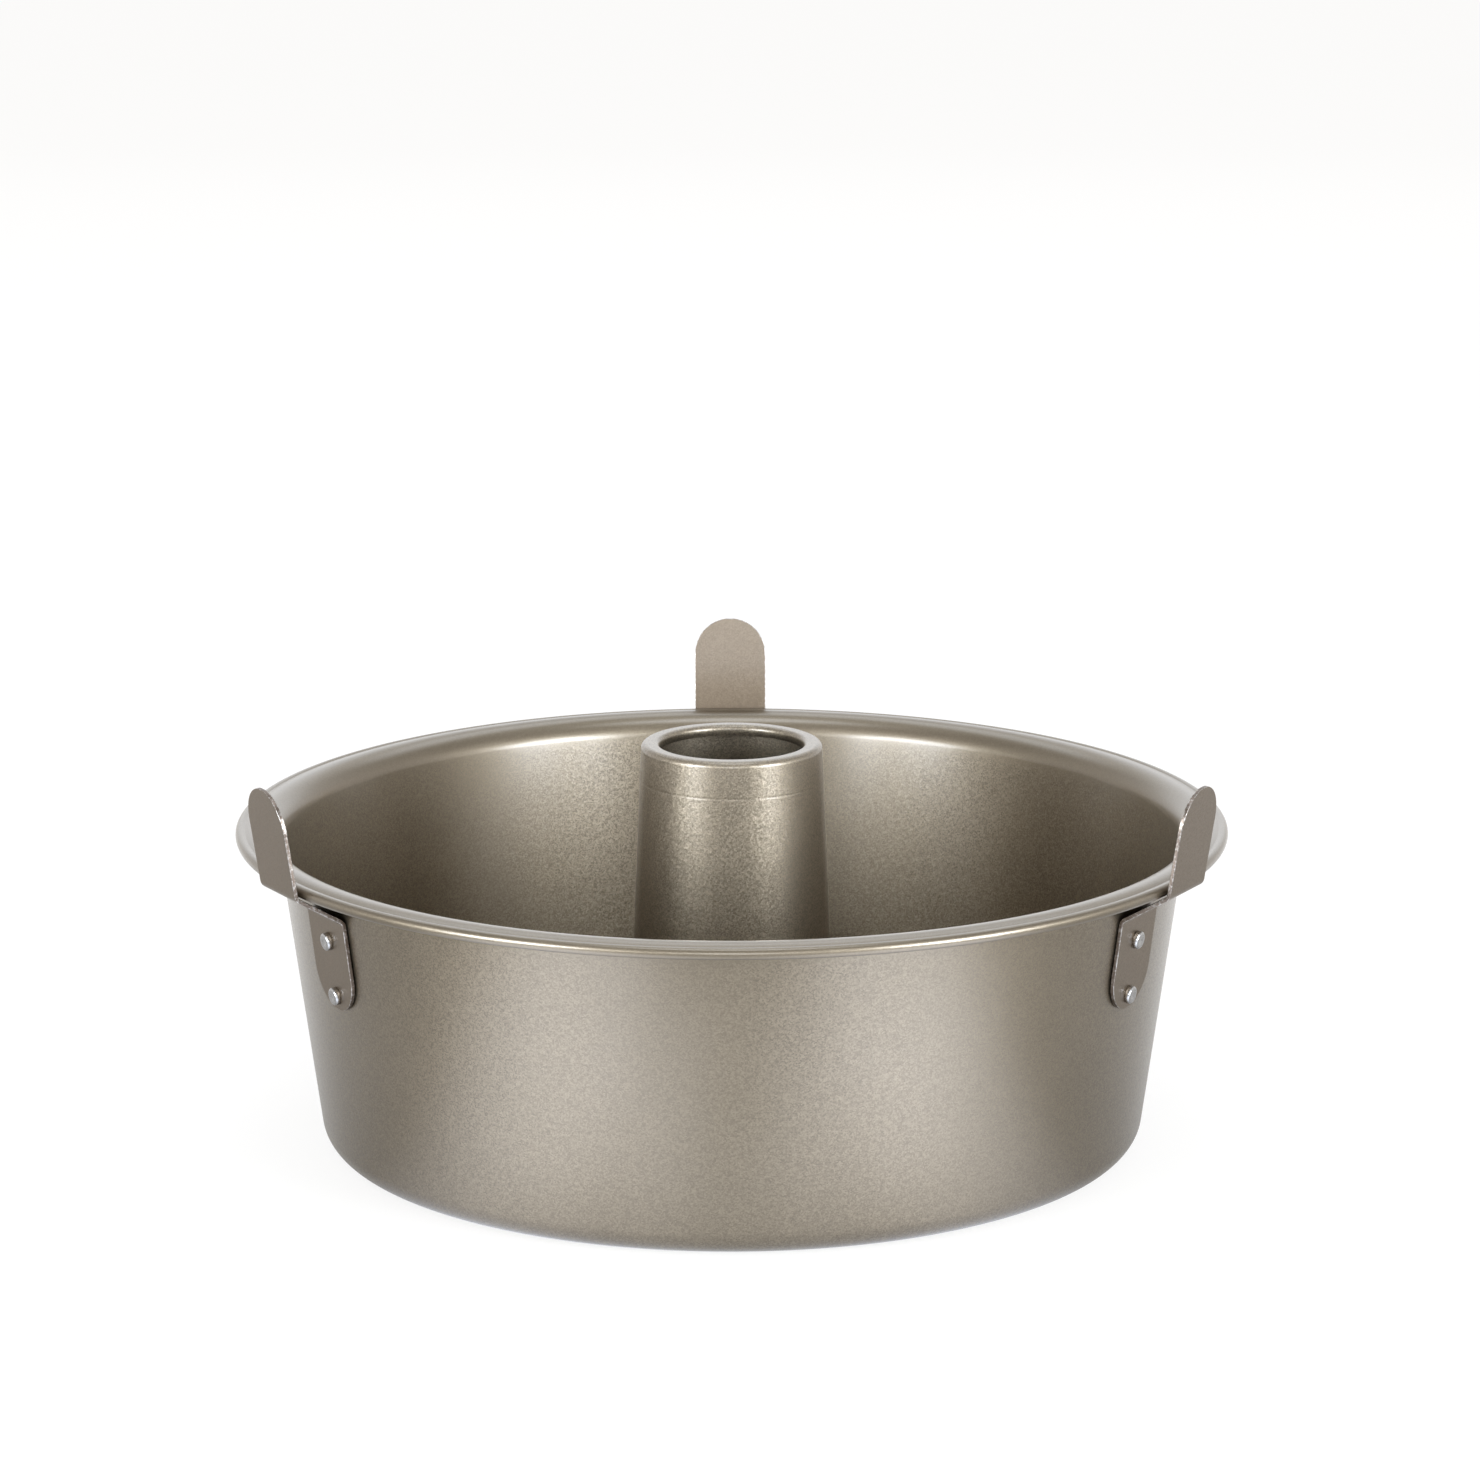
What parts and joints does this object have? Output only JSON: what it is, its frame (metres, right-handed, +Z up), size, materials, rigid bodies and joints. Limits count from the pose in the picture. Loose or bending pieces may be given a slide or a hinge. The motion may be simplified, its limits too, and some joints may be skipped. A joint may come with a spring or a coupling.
{
  "type": "angel food cake pan",
  "caption": "Round tapered cake pan with a tall hollow tube, a loose bottom that lifts out with it, a rolled rim and riveted cooling feet above the rim.",
  "frame": {"origin": "centre of the underside, on the axis of the pan, at the height of the table that it stands on", "axes": "+Z up along the pan's axis; one foot is at +Y and the other two are 120 degrees to each side of it"},
  "size_m": [0.267, 0.2735, 0.1131],
  "materials": {
    "pan_coating": "champagne metallic non-stick coating on pressed steel, satin, with fine sparkle",
    "foot_coating": "the same coating on bent steel strip, smoother, with bare edges",
    "rivet_aluminium": "bare, formed by a rivet set",
    "wire_steel": "drawn wire"
  },
  "bodies": {
    "shell": {"pan_shell": "pan_coating", "rim_wire": "wire_steel", "foot_back": "foot_coating", "foot_left": "foot_coating", "foot_right": "foot_coating", "rivet_back_upper": "rivet_aluminium", "rivet_back_lower": "rivet_aluminium", "rivet_left_upper": "rivet_aluminium", "rivet_left_lower": "rivet_aluminium", "rivet_right_upper": "rivet_aluminium", "rivet_right_lower": "rivet_aluminium"},
    "core": {"base_disc": "pan_coating", "centre_tube": "pan_coating"}
  },
  "joints": [
    {"name": "core_lift", "type": "slide", "parent": "shell", "child": "core", "axis": [0, 0, 1], "range_m": [0, 0.12]}
  ]
}
